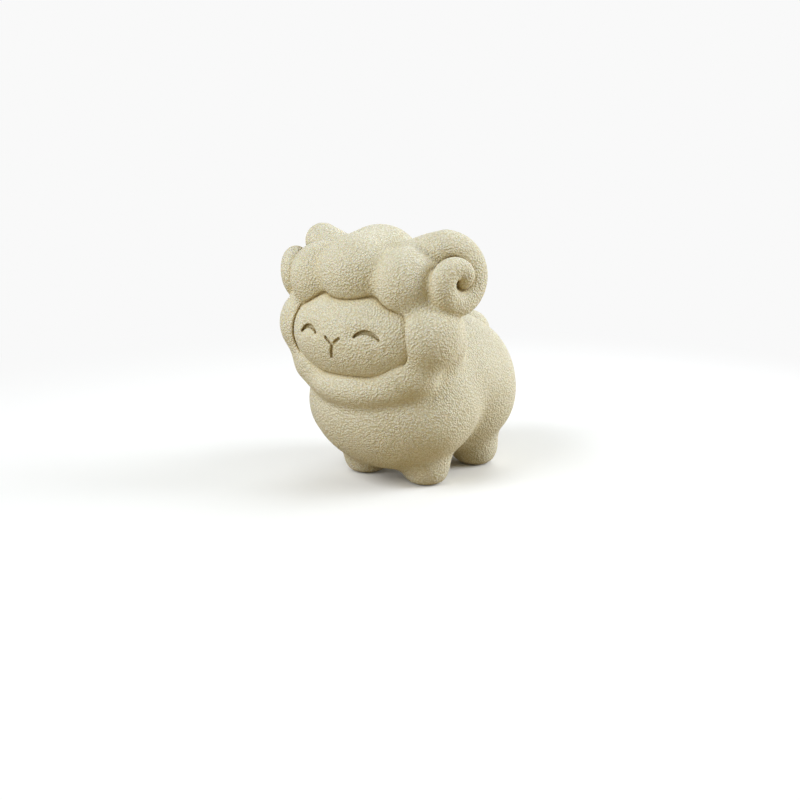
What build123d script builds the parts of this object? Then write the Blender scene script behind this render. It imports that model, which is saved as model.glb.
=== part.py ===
from build123d import *
import os
from math import asin, cos, degrees, radians, sin, sqrt

# Sheep figurine, cast in twelve pieces that are bonded into close-fitting seats.
# +Z is up and the soles stand on Z = 0. The face looks along -Y and X is across the body.
# The origin is under the middle of the whole length. All lengths are in millimetres.

# Bonding
glue_gap = 0.15  # room left for glue all round each seat

# Torso: a long pebble of a body, a little narrower at the rump than at the chest
torso_length = 63.5
torso_width = 49.6
rump_narrowing = 1.2  # how much narrower the rump is than the chest
torso_height = 40.4
torso_round_share = 0.97  # of half the height, rounded over above and below
belly_height = 2.8  # underside of the belly above the soles

# Legs: four stub feet plugged into the belly
foot_radius = 6.8
leg_top_radius = 6.2
leg_length = 12.0
sole_round = 3.2
front_leg_spread_share = 0.2016  # of the chest's width, from the middle
rear_leg_spread_share = 0.2273  # of the rump's width, from the middle
front_leg_place_share = 0.339  # of the torso's length, from the chest
rear_leg_place_share = 0.717

# Tail: a bob on the slope of the rump
tail_radius = 6.3
tail_height_share = 0.814  # of the torso's height
tail_overhang = 2.0  # how far the tail reaches past the rump

# Head: the ball of fleece that carries the face, the cap and the horns
head_radius = 19.0
head_place_share = 0.228  # of the torso's length, from the chest
head_lift = 2.5  # middle of the head above the torso's back
neck_radius = 5.5
neck_length = 7.0  # of the peg below the head

# Places on the head, as shares of its radius: across, along and up
face_place_shares = (0, -0.453, -0.211)
cheek_place_shares = (0.979, -0.289, -0.163)
rear_cheek_place_shares = (0.716, 0.211, -0.274)
crown_place_shares = (0, 0, 0.753)
brow_place_shares = (0.13, -0.537, 0.574)
side_brow_place_shares = (0.642, -0.44, 0.521)
temple_place_shares = (0.79, 0.02, 0.516)
ruff_place_shares = (0, 0.132, -0.705)
chin_place_shares = (0.684, -0.384, -0.6)
horn_place_shares = (1.279, -0.026, 0.616)

# Curls of fleece, as shares of the head's radius
cheek_radius_share = 0.39
rear_cheek_radius_share = 0.526
crown_radius_share = 0.526
brow_radius_share = 0.5
side_brow_radius_share = 0.416
temple_radius_share = 0.421
chin_radius_share = 0.432

# Ruff: a roll round the neck, lower at the throat than at the nape
ruff_neck_gap = 1.8  # between the neck peg and the roll
ruff_roll_radius_share = 0.3316  # of the head's radius
ruff_tilt = 16.0

# Face: a bun shape that fits the head, with engraved eyes and an engraved nose and mouth
face_width_share = 2.21  # of the head's radius
face_radius_share = 0.653
face_bend_share = 1.053  # the bun's long axis is curved back at its ends
groove_radius = 0.55
eye_spread = 9.1
eye_half_width = 3.4
eye_height = 2.0  # corners of the eyes above the middle of the face
eye_arch = 1.7
nose_half_width = 2.1
nose_height = 1.6
nose_lift = 0.2  # where the nose meets the mouth, above the middle of the face
mouth_length = 3.5

# Horns: a root that tapers out of the crown, then a tapering tube that coils over the back
# and in to its own middle
horn_coil_radius = 7.5
horn_last_coil_radius = 2.7
horn_base_radius_share = 0.58  # of the crown's radius, for the root inside it
horn_root_radius = 4.85  # where the root meets the coil
horn_tip_radius = 2.2
horn_inset = 2.2  # first turn inside the middle plane of the coil
horn_bulge = 3.2  # last turn outside it
horn_advance = 2.0  # last turn ahead of the first one
horn_root_depth_share = 0.6  # of the crown's radius that the root reaches in
horn_seat_gap = 0.4  # between the coil and the curls that it lies against
horn_seat_share = 0.7  # of the coil that lies against them
horn_seat_cuts = 13  # ball-shaped cuts along that stretch
horn_elbow_swell = 0.2  # of the knuckle between the root and the coil
horn_yaw = 12.0  # front of the coil turned inwards
horn_start = 90.0
horn_sweep = 470.0
horn_split_share = 0.5  # where the outer turn ends and the inner one starts
horn_sections = 13  # in each half of the coil

# Sizes and places that follow from the values above
rump_width = torso_width - rump_narrowing
front_leg_spread = torso_width * front_leg_spread_share
rear_leg_spread = rump_width * rear_leg_spread_share
cheek_radius = head_radius * cheek_radius_share
rear_cheek_radius = head_radius * rear_cheek_radius_share
crown_radius = head_radius * crown_radius_share
brow_radius = head_radius * brow_radius_share
side_brow_radius = head_radius * side_brow_radius_share
temple_radius = head_radius * temple_radius_share
chin_radius = head_radius * chin_radius_share
ruff_roll_radius = head_radius * ruff_roll_radius_share
ruff_radius = neck_radius + ruff_neck_gap + ruff_roll_radius
horn_base_radius = crown_radius * horn_base_radius_share
horn_root_depth = crown_radius * horn_root_depth_share
face_width = head_radius * face_width_share
face_radius = head_radius * face_radius_share
face_bend = head_radius * face_bend_share
head_along = torso_length * head_place_share
nose_along = head_along + face_place_shares[1] * head_radius - face_radius
tail_along = torso_length + tail_overhang - tail_radius
torso_front = -(nose_along + tail_along + tail_radius) / 2
torso_round = torso_height / 2 * torso_round_share
tail_centre = Vector(0, torso_front + tail_along, belly_height + torso_height * tail_height_share)
head_centre = Vector(0, torso_front + head_along, belly_height + torso_height + head_lift)


def on_head(shares, side=1):
    """A place given in shares of the head's radius, on either side."""
    across, along, up = shares
    return head_centre + Vector(side * across, along, up) * head_radius


def on_both_sides(shares):
    """The same place on the right and on the left of the head."""
    return [on_head(shares, side) for side in (-1, 1)]


face_centre = on_head(face_place_shares)
crown_centre = on_head(crown_place_shares)


def leg_form(side, spread, place_share, gap=0, mode=Mode.ADD):
    """A stub leg from the ground up into the belly."""
    with Locations((side * spread, torso_front + torso_length * place_share, 0)):
        Cone(
            foot_radius + gap,
            leg_top_radius + gap,
            leg_length + gap,
            align=(Align.CENTER, Align.CENTER, Align.MIN),
            mode=mode,
        )


def tail_form(gap=0, mode=Mode.ADD):
    """The bob tail."""
    with Locations(tail_centre):
        Sphere(tail_radius + gap, mode=mode)


def head_form(gap=0, mode=Mode.ADD):
    """The ball of the head with its cheek curls and its neck peg."""
    with Locations(head_centre):
        Sphere(head_radius + gap, mode=mode)
    with Locations(*on_both_sides(cheek_place_shares)):
        Sphere(cheek_radius + gap, mode=mode)
    with Locations(*on_both_sides(rear_cheek_place_shares)):
        Sphere(rear_cheek_radius + gap, mode=mode)
    with Locations(head_centre):
        Cylinder(
            neck_radius + gap,
            head_radius + neck_length + gap,
            rotation=(180, 0, 0),
            align=(Align.CENTER, Align.CENTER, Align.MIN),
            mode=mode,
        )


def cap_form(gap=0, mode=Mode.ADD):
    """The crown, brow and temple curls, before they are hollowed."""
    with Locations(crown_centre):
        Sphere(crown_radius + gap, mode=mode)
    with Locations(*on_both_sides(brow_place_shares)):
        Sphere(brow_radius + gap, mode=mode)
    with Locations(*on_both_sides(side_brow_place_shares)):
        Sphere(side_brow_radius + gap, mode=mode)
    with Locations(*on_both_sides(temple_place_shares)):
        Sphere(temple_radius + gap, mode=mode)


def face_form(gap=0, mode=Mode.ADD):
    """The bun of the face, without its engraving: a bent roll with round ends."""
    bend_centre = face_centre + Vector(0, face_bend, 0)
    half_reach = face_width / 2 - face_radius
    half_turn = degrees(asin(half_reach / face_bend))
    with Locations(Location(bend_centre, (0, 0, -90 - half_turn))):
        Torus(face_bend, face_radius + gap, major_angle=2 * half_turn, align=None, mode=mode)
    for side in (-1, 1):
        end = bend_centre + Vector(side * half_reach, -sqrt(face_bend**2 - half_reach**2), 0)
        with Locations(Plane(end, z_dir=(side, 0, 0))):
            Sphere(face_radius + gap, mode=mode)


def ruff_form(gap=0, mode=Mode.ADD):
    """The roll round the neck, with a fuller curl beside each end of the chin."""
    with Locations(Location(on_head(ruff_place_shares), (ruff_tilt, 0, 0))):
        Torus(ruff_radius, ruff_roll_radius + gap, mode=mode)
    with Locations(*on_both_sides(chin_place_shares)):
        Sphere(chin_radius + gap, mode=mode)


def horn_coil_plane():
    """The middle plane of the right coil: X out of its flat side, Y forwards and Z up."""
    outward = Vector(-cos(radians(horn_yaw)), -sin(radians(horn_yaw)), 0)
    return Plane(on_head(horn_place_shares, -1), x_dir=outward, z_dir=(0, 0, 1))


def horn_place(turned_share):
    """The middle of the right horn's tube: from the top over the back, forwards and inwards."""
    turn = radians(horn_start + horn_sweep * turned_share)
    coil_radius = horn_coil_radius + (horn_last_coil_radius - horn_coil_radius) * turned_share
    out = horn_bulge * turned_share - horn_inset * (1 - turned_share)
    ahead = horn_advance * turned_share
    place = Vector(out, ahead + coil_radius * cos(turn), coil_radius * sin(turn))
    return horn_coil_plane().from_local_coords(place)


def horn_plane(turned_share):
    """The plane of a section of the horn, square to the coil, with its X axis away from the middle."""
    step_share = 0.001
    ahead = horn_place(turned_share + step_share) - horn_place(turned_share - step_share)
    away = horn_place(turned_share) - on_head(horn_place_shares, -1)
    return Plane(horn_place(turned_share), x_dir=away, z_dir=ahead)


def horn_radius(turned_share):
    """The radius of the horn's tube, which tapers evenly."""
    return horn_root_radius + (horn_tip_radius - horn_root_radius) * turned_share


def horn_half(start_share, end_share):
    """One half of the coil: a loft through circles that taper evenly from the root to the tip."""
    sections = []
    for number in range(horn_sections):
        turned_share = start_share + (end_share - start_share) * number / (horn_sections - 1)
        with BuildSketch(horn_plane(turned_share)) as section:
            Circle(horn_radius(turned_share))
        sections.append(section.sketch)
    loft(sections)


def horn_root(side, gap=0, mode=Mode.ADD):
    """The round root from inside the crown to the start of the coil, with a knuckle at its end."""
    coil_start = horn_place(0)
    elbow = Vector(-side * coil_start.X, coil_start.Y, coil_start.Z)
    reach = elbow - crown_centre
    inner_length = crown_radius - horn_root_depth - gap
    with Locations(Plane(crown_centre + reach.normalized() * inner_length, z_dir=reach)):
        Cone(
            horn_base_radius + gap,
            horn_root_radius + gap,
            reach.length - inner_length,
            align=(Align.CENTER, Align.CENTER, Align.MIN),
            mode=mode,
        )
    with Locations(Plane(elbow, z_dir=reach)):
        Sphere(horn_root_radius + horn_elbow_swell + gap, mode=mode)


def horn_seat(side):
    """Clears the curls beside a horn with a row of balls along its coil."""
    for number in range(horn_seat_cuts):
        turned_share = horn_seat_share * number / (horn_seat_cuts - 1)
        middle = horn_place(turned_share)
        with Locations((-side * middle.X, middle.Y, middle.Z)):
            Sphere(horn_radius(turned_share) + horn_seat_gap, mode=Mode.SUBTRACT)


def on_face(across, up):
    """A point on the front of the face, from its middle."""
    front = face_bend + sqrt(face_radius**2 - up**2)
    return face_centre + Vector(across, face_bend - sqrt(front**2 - across**2), up)


os.makedirs("parts", exist_ok=True)

# Face with its engraving
with BuildPart() as face:
    face_form()
    for side in (-1, 1):
        with BuildLine() as eye_line:
            ThreePointArc(
                on_face(side * (eye_spread - eye_half_width), eye_height),
                on_face(side * eye_spread, eye_height + eye_arch),
                on_face(side * (eye_spread + eye_half_width), eye_height),
            )
        with BuildSketch(Plane(eye_line.line @ 0, z_dir=eye_line.line % 0)):
            Circle(groove_radius)
        sweep(path=eye_line.line, mode=Mode.SUBTRACT)
    for end in (
        on_face(-nose_half_width, nose_lift + nose_height),
        on_face(nose_half_width, nose_lift + nose_height),
        on_face(0, nose_lift - mouth_length),
    ):
        with BuildLine() as nose_line:
            Line(on_face(0, nose_lift), end)
        with BuildSketch(Plane(nose_line.line @ 0, z_dir=nose_line.line % 0)):
            Circle(groove_radius)
        sweep(path=nose_line.line, mode=Mode.SUBTRACT)
face.part.label = "face"
export_step(face.part, "parts/face.step")

# Horns
with BuildPart() as right_horn:
    horn_root(-1)
    horn_half(0, horn_split_share)
    horn_half(horn_split_share, 1)
    with Locations(horn_place(1)):
        Sphere(horn_tip_radius)
right_horn.part.label = "right_horn"
export_step(right_horn.part, "parts/right_horn.step")

with BuildPart() as left_horn:
    mirror(right_horn.part, about=Plane.YZ)
left_horn.part.label = "left_horn"
export_step(left_horn.part, "parts/left_horn.step")

# Head, hollowed for the face and for the roots of the horns
with BuildPart() as head:
    head_form()
    face_form(glue_gap, Mode.SUBTRACT)
    for side in (-1, 1):
        horn_root(side, glue_gap, Mode.SUBTRACT)
head.part.label = "head"
export_step(head.part, "parts/head.step")

# Fleece cap, hollowed to sit on the head and over the face, with a socket for each horn's root
with BuildPart() as fleece_cap:
    cap_form()
    head_form(glue_gap, Mode.SUBTRACT)
    face_form(glue_gap, Mode.SUBTRACT)
    for side in (-1, 1):
        horn_root(side, glue_gap, Mode.SUBTRACT)
        horn_seat(side)
fleece_cap.part.label = "fleece_cap"
export_step(fleece_cap.part, "parts/fleece_cap.step")

# Ruff, hollowed for the head and the face
with BuildPart() as neck_ruff:
    ruff_form()
    head_form(glue_gap, Mode.SUBTRACT)
    face_form(glue_gap, Mode.SUBTRACT)
neck_ruff.part.label = "neck_ruff"
export_step(neck_ruff.part, "parts/neck_ruff.step")

# Tail
with BuildPart() as tail:
    tail_form()
tail.part.label = "tail"
export_step(tail.part, "parts/tail.step")

# Legs
leg_places = {
    "front_left_leg": (1, front_leg_spread, front_leg_place_share),
    "front_right_leg": (-1, front_leg_spread, front_leg_place_share),
    "rear_left_leg": (1, rear_leg_spread, rear_leg_place_share),
    "rear_right_leg": (-1, rear_leg_spread, rear_leg_place_share),
}
for leg_name, leg_place in leg_places.items():
    with BuildPart() as leg:
        leg_form(*leg_place)
        fillet(leg.edges().sort_by(Axis.Z)[0], sole_round)
    leg.part.label = leg_name
    export_step(leg.part, f"parts/{leg_name}.step")

# Torso, with a seat for every piece that it carries
with BuildPart() as torso:
    with BuildSketch(Plane.XY.offset(belly_height)):
        with Locations((0, torso_front + torso_width / 2)):
            Circle(torso_width / 2)
        with Locations((0, torso_front + torso_length - rump_width / 2)):
            Circle(rump_width / 2)
        make_hull()
    extrude(amount=torso_height)
    levels = torso.edges().group_by(Axis.Z)
    fillet(levels[0] + levels[-1], torso_round)
    head_form(glue_gap, Mode.SUBTRACT)
    face_form(glue_gap, Mode.SUBTRACT)
    ruff_form(glue_gap, Mode.SUBTRACT)
    tail_form(glue_gap, Mode.SUBTRACT)
    for leg_place in leg_places.values():
        leg_form(*leg_place, glue_gap, Mode.SUBTRACT)
torso.part.label = "torso"
export_step(torso.part, "parts/torso.step")
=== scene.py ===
import math
from collections import namedtuple

import bpy
import numpy as np
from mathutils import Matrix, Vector


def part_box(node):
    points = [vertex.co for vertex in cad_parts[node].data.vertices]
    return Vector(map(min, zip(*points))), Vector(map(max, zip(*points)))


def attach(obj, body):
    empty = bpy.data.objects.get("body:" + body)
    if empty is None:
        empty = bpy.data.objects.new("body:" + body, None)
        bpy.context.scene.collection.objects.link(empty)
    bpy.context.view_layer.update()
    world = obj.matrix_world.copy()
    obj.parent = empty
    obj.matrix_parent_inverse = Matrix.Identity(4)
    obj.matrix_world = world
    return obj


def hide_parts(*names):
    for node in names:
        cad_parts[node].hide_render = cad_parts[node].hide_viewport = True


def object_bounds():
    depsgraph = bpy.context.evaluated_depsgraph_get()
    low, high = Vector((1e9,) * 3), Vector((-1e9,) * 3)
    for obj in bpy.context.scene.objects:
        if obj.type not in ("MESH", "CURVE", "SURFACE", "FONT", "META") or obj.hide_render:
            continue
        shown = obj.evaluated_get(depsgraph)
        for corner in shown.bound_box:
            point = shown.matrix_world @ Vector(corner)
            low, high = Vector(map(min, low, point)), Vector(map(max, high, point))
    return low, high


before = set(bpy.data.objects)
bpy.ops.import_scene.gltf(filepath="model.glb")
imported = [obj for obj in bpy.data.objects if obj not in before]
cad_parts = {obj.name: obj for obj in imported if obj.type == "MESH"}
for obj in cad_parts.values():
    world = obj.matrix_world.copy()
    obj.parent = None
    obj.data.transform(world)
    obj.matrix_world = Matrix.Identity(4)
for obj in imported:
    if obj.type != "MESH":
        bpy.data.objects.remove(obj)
cad_low, cad_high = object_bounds()

# Forms are worked out in millimetres as fields, negative inside, and meshes are written in metres
millimetre = 0.001
mirror_x = np.array([-1.0, 1.0, 1.0])
sides = (1, -1)  # the animal's left and right
tiny = 1e-9

# Grid steps of the meshes
step_scale = 1.0
body_step = 0.55 * step_scale
fleece_step = 0.4 * step_scale
horn_step = 0.32 * step_scale
face_step = 0.26 * step_scale
coarse_steps = 4  # grid steps in one step of the first, rough grid
near_steps = 1.9  # rough steps from the surface within which the fine grid is worked out
grid_margin = 6.0

# How the points of a mesh settle on its surface
settle_turns = 2
longest_move_share = 0.5  # of a grid step
least_slope_squared = 0.25
slope_reach = 0.02

# How a piece goes on under its neighbour where two pieces meet
dive_slope = 0.35
dive_depth = 1.2
dive_start = 0.4

# Seam between the face and the fleece round it
seam_gap = 0.1
seam_round = 1.2  # of the fleece's lip
seam_depth = 0.05
seam_end_depth = 0.85  # beside the ends of the face
seam_end_shares = (0.72, 0.84)  # of the face's half width, where the depth starts to grow and is full

# Widths of the soft valleys between forms
body_valley = 3.0
back_valley = 6.0
shoulder_valley = 2.0
leg_valley = 3.0
tail_valley = 1.6
ruff_valley = 1.4
chin_valley = 3.0
cheek_valley = 2.6
cheek_front_valley = 4.0
cheek_back_valley = 2.4
curl_valley = 2.8
crown_valley = 4.0
root_valley = 2.4
coil_valley = 1.2
groove_valley = 0.3
lid_valley = 1.2
sole_round = 1.8

# How far off the surface a crease is looked for, for the painted shade in the creases
crease_reaches = (1.2, 3.5)


def node_box(node):
    """Lowest corner and size of a node, in millimetres."""
    low, high = (np.array(corner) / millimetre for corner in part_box(node))
    return low, high - low


def node_size(node):
    """Size of a node, in millimetres."""
    return node_box(node)[1]


def place(node, shares, side=1):
    """The point at these shares of a node's box; side -1 puts it on the other side of the animal."""
    low, size = node_box(node)
    point = low + size * np.array(shares)
    return point if side > 0 else point * mirror_x


def blend(first, last, share):
    """The value at this share of the way from the first to the last."""
    return first + (last - first) * share


def ramp(values, start, end):
    """0 up to the start, 1 from the end on, and even between them."""
    return np.clip((values - start) / (end - start), 0.0, 1.0)


def smooth_min(first, second, valley):
    """The union of two fields, with a soft valley of about this width where they meet."""
    reach = np.maximum(valley - np.abs(first - second), 0.0)
    return np.minimum(first, second) - reach * reach / (4.0 * valley)


def ellipsoid(centre, radii):
    """The field of an ellipsoid."""

    def field(points):
        scaled = (points - centre) / radii
        length = np.linalg.norm(scaled, axis=-1)
        slope = np.linalg.norm(scaled / radii, axis=-1)
        return length * (length - 1.0) / np.maximum(slope, tiny)

    return field


def lump(node, centre_shares, radius_shares, side=1):
    """An ellipsoid placed and sized by shares of a node's box."""
    return ellipsoid(place(node, centre_shares, side), node_size(node) * np.array(radius_shares))


def tube(path, radii):
    """The field of a tapering tube along a path of points."""
    low = (path - radii[:, None]).min(axis=0)
    high = (path + radii[:, None]).max(axis=0)

    def field(points):
        outside = np.linalg.norm(np.maximum(np.maximum(low - points, points - high), 0.0), axis=-1)
        nearest = outside + radii.max()
        close = np.nonzero(outside < radii.max())[0]
        near_points = points[close]
        best = np.full(len(close), np.inf)
        for start, end, start_radius, end_radius in zip(path[:-1], path[1:], radii[:-1], radii[1:]):
            run = end - start
            along = np.clip((near_points - start) @ run / (run @ run), 0.0, 1.0)
            gap = np.linalg.norm(near_points - start - along[:, None] * run, axis=-1)
            best = np.minimum(best, gap - start_radius - along * (end_radius - start_radius))
        nearest[close] = best
        return nearest

    return field


def union(fields, valley):
    """Several fields joined with soft valleys."""

    def field(points):
        total = fields[0](points)
        for other in fields[1:]:
            total = smooth_min(total, other(points), valley)
        return total

    return field


# Torso: chest, waist, rump and back, with soft shoulders
def torso_form():
    chest = lump("torso", (0.5, 0.330, 0.493), (0.496, 0.331, 0.483))
    waist = lump("torso", (0.5, 0.504, 0.610), (0.472, 0.300, 0.370))
    rump = lump("torso", (0.5, 0.661, 0.455), (0.476, 0.310, 0.458))
    back = lump("torso", (0.5, 0.638, 0.634), (0.413, 0.339, 0.391))
    trunk = union([union([rump, back], back_valley), waist, chest], body_valley)
    shoulders = [lump("torso", (0.788, 0.264, 0.426), (0.181, 0.142, 0.235), side) for side in sides]
    return union([trunk, *shoulders], shoulder_valley)


# Legs: short stubs with flat soles
leg_nodes = ("front_left_leg", "front_right_leg", "rear_left_leg", "rear_right_leg")


def leg_form(node):
    stub = lump(node, (0.5, 0.5, 0.5), (0.506, 0.506, 0.65))

    def field(points):
        return -smooth_min(-stub(points), points[:, 2], sole_round)

    return field


# Tail: a bob
def tail_form():
    return lump("tail", (0.5, 0.5, 0.5), (0.5, 0.5, 0.5))


# Ruff: chin curls, the roll under the chin and the ring round the neck
ring_points = 31
ring_radius_share = 0.32  # of the ruff's height


def ruff_form():
    curls = [lump("neck_ruff", (0.807, 0.255, 0.580), (0.212, 0.206, 0.363), side) for side in sides]
    roll = lump("neck_ruff", (0.5, 0.224, 0.355), (0.368, 0.250, 0.305))
    size = node_size("neck_ruff")
    turn = np.radians(np.linspace(0.0, 360.0, ring_points))
    swing = np.stack([np.cos(turn), np.sin(turn), np.sin(turn)], axis=1)
    ring = place("neck_ruff", (0.5, 0.508, 0.578)) + size * np.array((0.302, 0.335, 0.208)) * swing
    ring_radii = np.full(ring_points, ring_radius_share * size[2])
    return union([tube(ring, ring_radii), roll, *curls], chin_valley)


# Head: fleece ball with the cheek curls
cheek_fade_shares = (0.24, 0.36)  # of the head's length, where its valleys start to narrow and are narrow


def head_form():
    forms = [lump("head", (0.5, 0.562, 0.578), (0.375, 0.438, 0.422))]
    for side in sides:
        forms.append(lump("head", (0.862, 0.352, 0.527), (0.160, 0.252, 0.213), side))
        forms.append(lump("head", (0.769, 0.602, 0.456), (0.173, 0.239, 0.244), side))
    return union(forms, cheek_valley)


def head_valley(points):
    """Soft where the cheeks meet the chin in front, and narrower behind them."""
    low, size = node_box("head")
    back_share = ramp((points[:, 1] - low[1]) / size[1], *cheek_fade_shares)
    return blend(cheek_front_valley, cheek_back_valley, back_share)


# Cap: crown, brow and temple curls
def cap_form():
    crown = lump("fleece_cap", (0.5, 0.669, 0.581), (0.228, 0.339, 0.419))
    brow = lump("fleece_cap", (0.5, 0.347, 0.482), (0.217, 0.322, 0.442))
    forms = [union([crown, brow], crown_valley)]
    for side in sides:
        forms.append(lump("fleece_cap", (0.800, 0.414, 0.371), (0.165, 0.305, 0.419), side))
        forms.append(lump("fleece_cap", (0.826, 0.669, 0.334), (0.174, 0.272, 0.373), side))
    return union(forms, curl_valley)


# Horns: a bent root out of the crown, then a tapering tube that coils over the back and inwards
horn_start = 90.0  # degrees
horn_sweep = 470.0
horn_yaw = math.radians(12.0)
root_points = 9
coil_points = 61
root_end_shares = (0.6, 0.8)  # of the cap's half width, where the root's valley gives way to the coil's

# Sizes of the horns as shares of their height, pairs from the start to the tip of the coil
coil_radius_shares = (0.339, 0.086)
coil_out_shares = (-0.0995, 0.1445)
tube_radius_shares = (0.219, 0.104)
advance_share = 0.113
advance_swell_share = 0.05
lean_share = 0.12  # how far the start of the coil leans in
sink_share = 0.16  # how far the tip sinks in, so that a dimple shows
lean_end = 0.22  # of the coil's length
sink_start = 0.84


def horn_form(side):
    height = node_size("left_horn")[2]
    outward = np.array([math.cos(horn_yaw), -math.sin(horn_yaw), 0.0])
    forward = np.array([-math.sin(horn_yaw), -math.cos(horn_yaw), 0.0])
    upward = np.array([0.0, 0.0, 1.0])

    turned = np.linspace(0.0, 1.0, coil_points)
    angle = np.radians(horn_start + horn_sweep * turned)
    coil_radius = height * blend(*coil_radius_shares, turned)
    advance = advance_share * turned + advance_swell_share * np.sin(math.pi * turned)
    lean = lean_share * (1.0 - ramp(turned, 0.0, lean_end)) ** 2
    sink = sink_share * ramp(turned, sink_start, 1.0) ** 2
    ahead = coil_radius * np.cos(angle) + height * advance
    up = coil_radius * np.sin(angle)
    out = height * (blend(*coil_out_shares, turned) - lean - sink)
    coil_middle = place("left_horn", (0.806, 0.482, 0.423))
    coil = coil_middle + ahead[:, None] * forward + up[:, None] * upward + out[:, None] * outward
    coil_radii = height * blend(*tube_radius_shares, turned)

    share = np.linspace(0.0, 1.0, root_points)[:-1, None]
    inner = place("left_horn", (0.050, 0.513, 0.482))
    bend = place("left_horn", (0.380, 0.399, 0.690))
    root = (1 - share) ** 2 * inner + 2 * share * (1 - share) * bend + share**2 * coil[0]
    root_radii = np.full(len(root), coil_radii[0])

    path = np.concatenate([root, coil])
    if side < 0:
        path = path * mirror_x
    return tube(path, np.concatenate([root_radii, coil_radii]))


def horn_valley(points):
    """Soft where the root leaves the crown, and narrow round the coil."""
    cap_half_width = node_size("fleece_cap")[0] / 2
    out_share = ramp(np.abs(points[:, 0]) / cap_half_width, *root_end_shares)
    return blend(root_valley, coil_valley, out_share)


# Face: a wide bun with engraved eyes, nose and mouth
eye_radius = 0.56
eye_end_share = 0.6  # of the radius, at the ends of an eye's line
eye_sinks = (0.15, 0.75, 1.35)  # under the surface, one cut above the other
lid_radius = 2.4
lid_sink = -2.2  # the lid's middle lies off the surface, so that it only dents it
nose_radius = 0.36
nose_sinks = (0.1, 0.6)
mouth_swell_share = 0.15  # of the radius, in the middle of the mouth's line
groove_points = 17

# Places on the face as shares of its width and height from its middle, pairs from end to end of a line
eye_across_shares = (0.144, 0.291)
eye_up_shares = (0.050, 0.030)
eye_arch_share = 0.062
arch_power = 0.75  # below 1 the arch is rounder than a sine
lid_lift_share = 0.025
nostril_across_shares = (0.050, 0.0)
nostril_up_shares = (0.025, -0.045)
mouth_across_shares = (0.0, -0.018)
mouth_up_shares = (-0.045, -0.175)


def face_forms():
    """The bun by itself, and the bun with its engraving."""
    size = node_size("face")
    centre = place("face", (0.5, 0.524, 0.533))
    radii = size * np.array((0.5, 0.524, 0.524))
    bun = ellipsoid(centre, radii)

    def on_face(across_shares, up_shares, sink):
        """Points at these shares of the face's size from its middle, this far under its front."""
        across = size[0] * across_shares
        up = size[2] * up_shares
        front = radii[1] * np.sqrt(1.0 - (across / radii[0]) ** 2 - (up / radii[2]) ** 2)
        return centre + np.stack([across, sink - front, up], axis=-1)

    turn = np.linspace(0.0, 1.0, groove_points)
    arch = np.sin(math.pi * turn) ** arch_power
    even = np.ones(groove_points)
    lines = []
    lids = []
    for side in sides:
        eye_across = side * blend(*eye_across_shares, turn)
        eye_up = blend(*eye_up_shares, turn) + eye_arch_share * arch
        for sink in eye_sinks:
            lines.append(tube(on_face(eye_across, eye_up, sink), eye_radius * blend(eye_end_share, 1.0, arch)))
        lids.append(tube(on_face(eye_across, eye_up + lid_lift_share, lid_sink), lid_radius * even))
        nostril_across = side * blend(*nostril_across_shares, turn)
        for sink in nose_sinks:
            nostril = on_face(nostril_across, blend(*nostril_up_shares, turn), sink)
            lines.append(tube(nostril, nose_radius * even))
    for sink in nose_sinks:
        mouth = on_face(blend(*mouth_across_shares, turn), blend(*mouth_up_shares, turn), sink)
        lines.append(tube(mouth, nose_radius * (1.0 + mouth_swell_share * arch)))
    engraving = union(lines, groove_valley)
    dents = union(lids, groove_valley)

    def carved(points):
        softened = -smooth_min(-bun(points), dents(points), lid_valley)
        return -smooth_min(-softened, engraving(points), groove_valley)

    return bun, carved


# Pieces of the fleece, in the order in which their forms are joined; a valley is a width or a function
Piece = namedtuple("Piece", "node form step valley")

bun, carved_face = face_forms()
face_half_width = node_size("face")[0] / 2
pieces = [Piece("torso", torso_form(), body_step, body_valley)]
pieces += [Piece(node, leg_form(node), fleece_step, leg_valley) for node in leg_nodes]
pieces += [
    Piece("tail", tail_form(), fleece_step, tail_valley),
    Piece("neck_ruff", ruff_form(), fleece_step, ruff_valley),
    Piece("head", head_form(), fleece_step, head_valley),
    Piece("fleece_cap", cap_form(), fleece_step, curl_valley),
    Piece("left_horn", horn_form(1), horn_step, horn_valley),
    Piece("right_horn", horn_form(-1), horn_step, horn_valley),
]


def near_pieces(node):
    """The pieces whose boxes come close to this node's."""
    low, size = node_box(node)
    found = []
    for piece in pieces:
        other_low, other_size = node_box(piece.node)
        apart = np.maximum(other_low - low - size, low - other_low - other_size).max()
        if apart < grid_margin:
            found.append(piece)
    return found


neighbours = {node: near_pieces(node) for node in ["face"] + [piece.node for piece in pieces]}


def fields_at(points, node):
    """The fleece's whole surface, this node's own form, and whatever else is nearest."""
    face_gap = bun(points)
    whole = None
    own = None
    rest = face_gap
    for piece in neighbours[node]:
        value = piece.form(points)
        valley = piece.valley(points) if callable(piece.valley) else piece.valley
        whole = value if whole is None else smooth_min(whole, value, valley)
        if piece.node == node:
            own = value
        else:
            rest = np.minimum(rest, value)
    end_share = ramp(np.abs(points[:, 0]) / face_half_width, *seam_end_shares)
    depth = blend(seam_depth, seam_end_depth, end_share)
    cut = -smooth_min(-whole, face_gap - seam_gap, seam_round) - whole
    lowered = whole + smooth_min(cut, depth, groove_valley)
    return np.maximum(lowered, -face_gap - dive_depth), own, rest


def piece_field(points, node, start=0.0):
    """A closed solid that shows the node's part of the surface and ends just under its neighbours."""
    if node == "face":
        return carved_face(points)
    whole, own, rest = fields_at(points, node)
    beyond = own - rest
    return np.maximum(whole + dive_slope * np.maximum(beyond - start, 0.0), beyond - dive_depth)


def shown_field(points, node):
    """The field whose slope shades the piece, so that neighbours meet without an edge."""
    return piece_field(points, node, dive_start)


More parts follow.
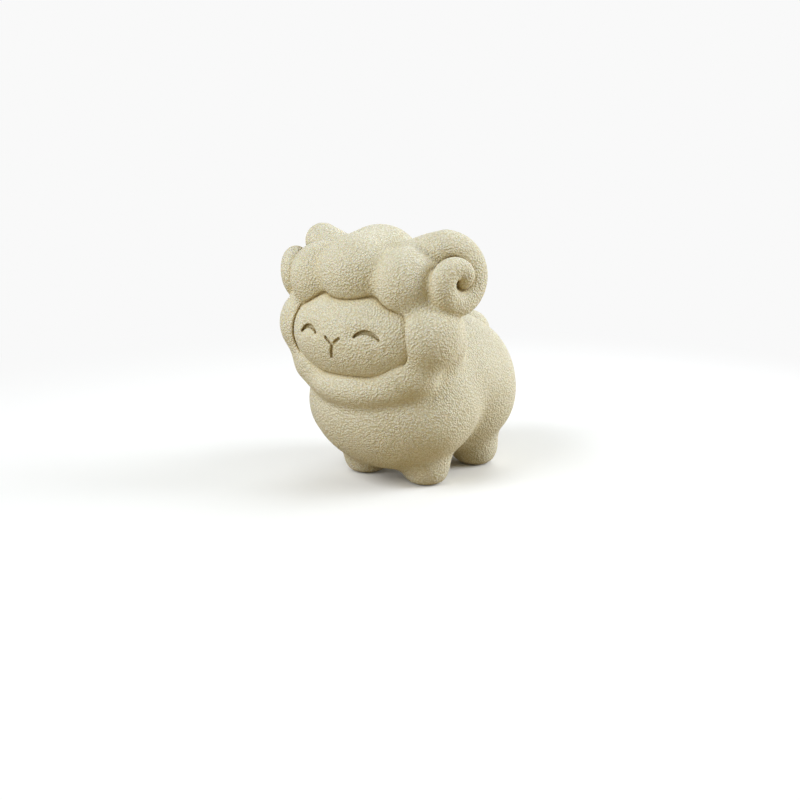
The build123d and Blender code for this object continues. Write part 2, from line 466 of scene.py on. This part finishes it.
def open_field(points, node):
    """How far points are from the whole figure's surface, as seen from one node."""
    return np.minimum(fields_at(points, node)[0], carved_face(points))


tetrahedron = np.array([(1, -1, -1), (-1, -1, 1), (-1, 1, -1), (1, 1, 1)], float)


def slope_of(field, points, node):
    """The slope of a field, from four points round each one."""
    total = np.zeros_like(points)
    for corner in tetrahedron:
        total += corner * field(points + corner * slope_reach, node)[:, None]
    return total / (len(tetrahedron) * slope_reach)


def surface_net(values, low, step):
    """Vertices and four-sided faces of the zero surface of a grid of field values."""
    inside = values < 0.0
    corners = np.array(np.meshgrid((0, 1), (0, 1), (0, 1), indexing="ij")).reshape(3, -1).T
    cell_shape = np.array(values.shape) - 1
    inside_count = np.zeros(cell_shape, np.int8)
    for corner in corners:
        window = tuple(slice(start, start + length) for start, length in zip(corner, cell_shape))
        inside_count += inside[window]
    crossing = (inside_count > 0) & (inside_count < len(corners))
    cells = np.argwhere(crossing)
    index = np.full(cell_shape, -1, np.int64)
    index[crossing] = np.arange(len(cells))

    # A vertex in each crossed cell, at the mean of the crossings of its edges
    total = np.zeros((len(cells), 3))
    hits = np.zeros(len(cells))
    for first in corners:
        for second in corners:
            edge = second - first
            if edge.sum() != 1 or np.abs(edge).sum() != 1:
                continue
            first_values = values[tuple((cells + first).T)]
            second_values = values[tuple((cells + second).T)]
            crossed = (first_values < 0.0) != (second_values < 0.0)
            along = first_values[crossed] / (first_values[crossed] - second_values[crossed])
            total[crossed] += first + along[:, None] * edge
            hits[crossed] += 1
    vertices = low + step * (cells + total / hits[:, None])

    # A face across each crossed edge of the grid, from the four cells round it
    faces = []
    for axis in range(3):
        begin = np.moveaxis(inside, axis, 0)[:-1]
        end = np.moveaxis(inside, axis, 0)[1:]
        edges = np.argwhere(np.moveaxis(begin != end, 0, axis))
        starts_inside = inside[tuple(edges.T)]
        one_side = np.eye(3, dtype=int)[(axis + 1) % 3]
        other_side = np.eye(3, dtype=int)[(axis + 2) % 3]
        shifts = (one_side * 0, one_side, one_side + other_side, other_side)
        loop = np.stack([index[tuple((edges - shift).T)] for shift in shifts], axis=1)
        loop[~starts_inside] = loop[~starts_inside][:, ::-1]
        faces.append(loop)
    return vertices, np.concatenate(faces)


def grid_values(node, low, step, counts, rough):
    """A piece's field on a grid; rough values from a coarser grid stand where the surface is far."""
    axes = [low[i] + step * np.arange(counts[i]) for i in range(3)]
    grid = np.stack(np.meshgrid(*axes, indexing="ij"), axis=-1).reshape(-1, 3)
    if rough is None:
        return piece_field(grid, node)
    near = np.nonzero(np.abs(rough) < near_steps * coarse_steps * step)[0]
    rough[near] = piece_field(grid[near], node)
    return rough


def crease_shade_shares(vertices, normals, node):
    """How much of the room just off the surface is filled: 0 in the open, 1 deep in a crease; it sets the
    painted shade in the creases and the painted shadow in the engraved grooves.
    """
    filled = np.zeros(len(vertices))
    for reach in crease_reaches:
        gap = open_field(vertices + normals * reach, node)
        filled += np.clip(1.0 - gap / reach, 0.0, 1.0)
    return filled / len(crease_reaches)


def piece_mesh(node, step):
    """The mesh of one piece, in metres."""
    low, size = node_box(node)
    low = low - grid_margin
    counts = np.ceil((size + 2.0 * grid_margin) / (step * coarse_steps)).astype(int) + 1
    rough = grid_values(node, low, step * coarse_steps, counts, None).reshape(counts)
    for axis in range(3):
        rough = rough.repeat(coarse_steps, axis=axis)
    counts = counts * coarse_steps
    values = grid_values(node, low, step, counts, rough.ravel())
    vertices, faces = surface_net(values.reshape(counts), low, step)
    for _ in range(settle_turns):
        slope = slope_of(piece_field, vertices, node)
        slope_squared = np.maximum((slope * slope).sum(axis=1), least_slope_squared)
        move = -(piece_field(vertices, node) / slope_squared)[:, None] * slope
        reach = np.linalg.norm(move, axis=1, keepdims=True)
        vertices += move * np.minimum(1.0, longest_move_share * step / np.maximum(reach, tiny))
    normals = slope_of(shown_field, vertices, node)
    normals /= np.maximum(np.linalg.norm(normals, axis=1, keepdims=True), tiny)
    mesh = bpy.data.meshes.new(node + "_form")
    mesh.from_pydata((vertices * millimetre).tolist(), [], faces.tolist())
    # The crease share is kept on the mesh for the material's painted shade in the creases and painted shadow
    # in the grooves
    crease_shade = mesh.attributes.new("crease_shade", "FLOAT", "POINT")
    crease_shade.data.foreach_set("value", crease_shade_shares(vertices, normals, node))
    mesh.polygons.foreach_set("use_smooth", np.ones(len(mesh.polygons), bool))
    mesh.update()
    mesh.normals_split_custom_set_from_vertices(normals.tolist())
    return mesh


# Nodes that the materials share
def mapped(tree, value, source, target):
    """A value carried from one range to another, and kept inside it."""
    node = tree.nodes.new("ShaderNodeMapRange")
    node.inputs["From Min"].default_value, node.inputs["From Max"].default_value = source
    node.inputs["To Min"].default_value, node.inputs["To Max"].default_value = target
    tree.links.new(value, node.inputs["Value"])
    return node.outputs["Result"]


def combined(tree, operation, first, second):
    """Two values put together by a sum, a product or the like."""
    node = tree.nodes.new("ShaderNodeMath")
    node.operation = operation
    tree.links.new(first, node.inputs[0])
    tree.links.new(second, node.inputs[1])
    return node.outputs["Value"]


def mixed_colour(tree, factor, first, second):
    """A mix of two colours, each a fixed one or the output of a node."""
    node = tree.nodes.new("ShaderNodeMix")
    node.data_type = "RGBA"
    tree.links.new(factor, node.inputs["Factor"])
    colour_sockets = [socket for socket in node.inputs if socket.type == "RGBA"]
    for socket, colour in zip(colour_sockets, (first, second)):
        if isinstance(colour, tuple):
            socket.default_value = colour
        else:
            tree.links.new(colour, socket)
    return next(socket for socket in node.outputs if socket.type == "RGBA")


def mixed_shader(tree, factor, first, second):
    """A mix of two shaders."""
    node = tree.nodes.new("ShaderNodeMixShader")
    tree.links.new(factor, node.inputs["Fac"])
    tree.links.new(first, node.inputs[1])
    tree.links.new(second, node.inputs[2])
    return node.outputs["Shader"]


def seen_rays(tree):
    """1 for the rays that see a surface: straight, in a reflection or through glass."""
    light_path = tree.nodes.new("ShaderNodeLightPath")
    seen = light_path.outputs["Is Camera Ray"]
    for kind in ("Is Glossy Ray", "Is Transmission Ray"):
        seen = combined(tree, "MAXIMUM", seen, light_path.outputs[kind])
    return seen


# Material: matt cream with a fine pebbled grain, with painted shade in the grain's pits and in the creases,
# and painted shadow in the engraved grooves
patch_scale = 55.0
patch_detail = 3.0
patch_range = (0.3, 0.72)
pebble_scale = 1800.0
pebble_smoothness = 0.15
pebble_range = (0.1, 0.75)
wrinkle_scale = 3800.0
wrinkle_detail = 1.0
wrinkle_range = (0.3, 0.7)
wrinkle_height_share = 0.3  # of a pebble's height
grain_depth = 0.00027  # metres
# Painted shade in the grain's pits and in the creases, and painted shadow in the engraved grooves:
pit_shade_range = (0.2, 0.9)
pit_shade_strength = 0.8
crease_shade_range = (0.08, 0.7)
crease_shade_strength = 0.7
groove_shadow_range = (0.7, 1.0)
groove_shadow_strength = 0.9
warm_cream = (0.82, 0.785, 0.63, 1.0)
pale_cream = (0.855, 0.825, 0.69, 1.0)
pit_shade_colour = (0.62, 0.555, 0.37, 1.0)
crease_shade_colour = (0.66, 0.56, 0.33, 1.0)
groove_shadow_colour = (0.34, 0.25, 0.11, 1.0)
cream_roughness = (0.6, 0.75)
cream_specular = 0.3
glow_weight = 0.15  # light that goes under the surface
glow_radius = (1.0, 0.7, 0.3)
glow_scale = 0.002  # metres


def cream_material():
    material = bpy.data.materials.new("cream_casting")
    material.use_nodes = True
    tree = material.node_tree
    shader = tree.nodes["Principled BSDF"]
    coordinate = tree.nodes.new("ShaderNodeTexCoord")

    def noise(scale, detail):
        texture = tree.nodes.new("ShaderNodeTexNoise")
        texture.inputs["Scale"].default_value = scale
        texture.inputs["Detail"].default_value = detail
        tree.links.new(coordinate.outputs["Object"], texture.inputs["Vector"])
        return texture.outputs["Fac"]

    patches = noise(patch_scale, patch_detail)
    pebbles = tree.nodes.new("ShaderNodeTexVoronoi")
    pebbles.feature = "SMOOTH_F1"
    pebbles.inputs["Scale"].default_value = pebble_scale
    pebbles.inputs["Smoothness"].default_value = pebble_smoothness
    tree.links.new(coordinate.outputs["Object"], pebbles.inputs["Vector"])
    pebble_height = mapped(tree, pebbles.outputs["Distance"], pebble_range, (1.0, 0.0))
    wrinkles = noise(wrinkle_scale, wrinkle_detail)
    wrinkle_height = mapped(tree, wrinkles, wrinkle_range, (0.0, wrinkle_height_share))
    grain_height = combined(tree, "ADD", pebble_height, wrinkle_height)

    tones = mixed_colour(tree, mapped(tree, patches, patch_range, (0.0, 1.0)), warm_cream, pale_cream)
    # Painted shade: the grain's pits are darker, standing in for the shade in the grain's relief
    pit_shading = mapped(tree, grain_height, pit_shade_range, (pit_shade_strength, 0.0))
    grain_shaded = mixed_colour(tree, pit_shading, tones, pit_shade_colour)
    # Painted shade: a darker, warmer colour in the creases and under overhangs, from the crease share
    crease_shade = tree.nodes.new("ShaderNodeAttribute")
    crease_shade.attribute_name = "crease_shade"
    crease_shading = mapped(tree, crease_shade.outputs["Fac"], crease_shade_range, (0.0, crease_shade_strength))
    crease_shaded = mixed_colour(tree, crease_shading, grain_shaded, crease_shade_colour)
    # Painted shadow: a dark brown in the deepest creases, such as the engraved eyes, nose and mouth
    groove_shading = mapped(tree, crease_shade.outputs["Fac"], groove_shadow_range, (0.0, groove_shadow_strength))
    groove_shaded = mixed_colour(tree, groove_shading, crease_shaded, groove_shadow_colour)
    tree.links.new(groove_shaded, shader.inputs["Base Color"])

    grain_bump = tree.nodes.new("ShaderNodeBump")
    grain_bump.inputs["Strength"].default_value = 1.0
    grain_bump.inputs["Distance"].default_value = grain_depth
    tree.links.new(grain_height, grain_bump.inputs["Height"])
    tree.links.new(grain_bump.outputs["Normal"], shader.inputs["Normal"])

    tree.links.new(mapped(tree, patches, (0.0, 1.0), cream_roughness), shader.inputs["Roughness"])
    shader.inputs["Specular IOR Level"].default_value = cream_specular
    shader.inputs["Subsurface Weight"].default_value = glow_weight
    shader.inputs["Subsurface Radius"].default_value = glow_radius
    shader.inputs["Subsurface Scale"].default_value = glow_scale
    return material


cream = cream_material()


def add_piece(node, step):
    """One finished piece in the place of its CAD node."""
    mesh = piece_mesh(node, step)
    mesh.materials.append(cream)
    cast = bpy.data.objects.new(node + "_cast", mesh)
    bpy.context.scene.collection.objects.link(cast)
    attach(cast, "root")
    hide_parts(node)


for piece in pieces:
    add_piece(piece.node, piece.step)
add_piece("face", face_step)

# Stage: a pale floor that fades into a white surround, in metres
floor_half = 3.0
floor_roughness = 0.9
fade_start = 0.06
fade_end = 0.24
surround_white = (0.947, 0.947, 0.947, 1.0)
floor_shown = (0.97, 0.97, 0.965, 1.0)
floor_bounce = (0.34, 0.25, 0.10, 1.0)  # the light that the floor throws back is warm


def floor_material():
    material = bpy.data.materials.new("pale_floor")
    material.use_nodes = True
    tree = material.node_tree
    shader = tree.nodes["Principled BSDF"]
    shader.inputs["Roughness"].default_value = floor_roughness
    seen = seen_rays(tree)
    tree.links.new(mixed_colour(tree, seen, floor_bounce, floor_shown), shader.inputs["Base Color"])

    coordinate = tree.nodes.new("ShaderNodeTexCoord")
    distance = tree.nodes.new("ShaderNodeVectorMath")
    distance.operation = "LENGTH"
    tree.links.new(coordinate.outputs["Object"], distance.inputs[0])
    fade = tree.nodes.new("ShaderNodeMapRange")
    fade.interpolation_type = "SMOOTHSTEP"
    fade.inputs["From Min"].default_value = fade_start
    fade.inputs["From Max"].default_value = fade_end
    tree.links.new(distance.outputs["Value"], fade.inputs["Value"])
    white = tree.nodes.new("ShaderNodeEmission")
    white.inputs["Color"].default_value = surround_white
    seen_fade = combined(tree, "MULTIPLY", fade.outputs["Result"], seen)
    surface = mixed_shader(tree, seen_fade, shader.outputs["BSDF"], white.outputs["Emission"])
    tree.links.new(surface, tree.nodes["Material Output"].inputs["Surface"])
    return material


def add_floor():
    mesh = bpy.data.meshes.new("floor_form")
    corners = [(-floor_half, -floor_half, 0), (floor_half, -floor_half, 0)]
    corners += [(floor_half, floor_half, 0), (-floor_half, floor_half, 0)]
    mesh.from_pydata(corners, [], [(0, 1, 2, 3)])
    mesh.materials.append(floor_material())
    floor = bpy.data.objects.new("floor", mesh)
    bpy.context.scene.collection.objects.link(floor)


add_floor()

# Light: three soft lamps from above, in an even, weaker surround
surround_light = 0.31
surround_tint = (1.0, 0.94, 0.75, 1.0)
lamp_tint = (0.95, 1.0, 1.07)


def add_world():
    world = bpy.data.worlds.new("surround")
    bpy.context.scene.world = world
    world.use_nodes = True
    tree = world.node_tree
    lit = tree.nodes["Background"]
    lit.inputs["Color"].default_value = surround_tint
    lit.inputs["Strength"].default_value = surround_light
    shown = tree.nodes.new("ShaderNodeBackground")
    shown.inputs["Color"].default_value = surround_white
    surface = mixed_shader(tree, seen_rays(tree), lit.outputs["Background"], shown.outputs["Background"])
    tree.links.new(surface, tree.nodes["World Output"].inputs["Surface"])


def soft_lamp(name, location, size, power):
    """A square lamp, in metres and watts, that shines at the middle of the figure."""
    lamp = bpy.data.lights.new(name, "AREA")
    lamp.size = size
    lamp.energy = power
    lamp.color = lamp_tint
    holder = bpy.data.objects.new(name, lamp)
    holder.location = location
    target = Vector((cad_low + cad_high) / 2)
    holder.rotation_euler = (target - Vector(location)).to_track_quat("-Z", "Y").to_euler()
    bpy.context.scene.collection.objects.link(holder)


add_world()
soft_lamp("front_key", location=(-0.16, -0.50, 0.42), size=0.45, power=3.35)
soft_lamp("side_key", location=(0.46, 0.34, 0.28), size=0.40, power=3.4)
soft_lamp("back_key", location=(-0.12, 0.50, 0.44), size=0.40, power=1.2)

# Camera at the photograph's angle, in metres, with its lens and film in millimetres
view_azimuth = math.radians(35.0)
view_elevation = math.radians(13.5)
view_distance = 0.300
view_drop = 0.01205
view_nearest = 0.01
view_lens = 49.28
view_film = 36.0
look_at = Vector((0.0, -0.006, 0.0337))


def add_camera():
    back = Vector(
        (
            math.sin(view_azimuth) * math.cos(view_elevation),
            -math.cos(view_azimuth) * math.cos(view_elevation),
            math.sin(view_elevation),
        )
    )
    turned = (-back).to_track_quat("-Z", "Y")
    camera = bpy.data.cameras.new("camera")
    camera.lens = view_lens
    camera.sensor_width = view_film
    camera.clip_start = view_nearest
    holder = bpy.data.objects.new("camera", camera)
    holder.location = look_at + back * view_distance - (turned @ Vector((0, 1, 0))) * view_drop
    holder.rotation_euler = turned.to_euler()
    bpy.context.scene.collection.objects.link(holder)
    bpy.context.scene.camera = holder


add_camera()
bpy.context.scene.view_settings.view_transform = "Standard"
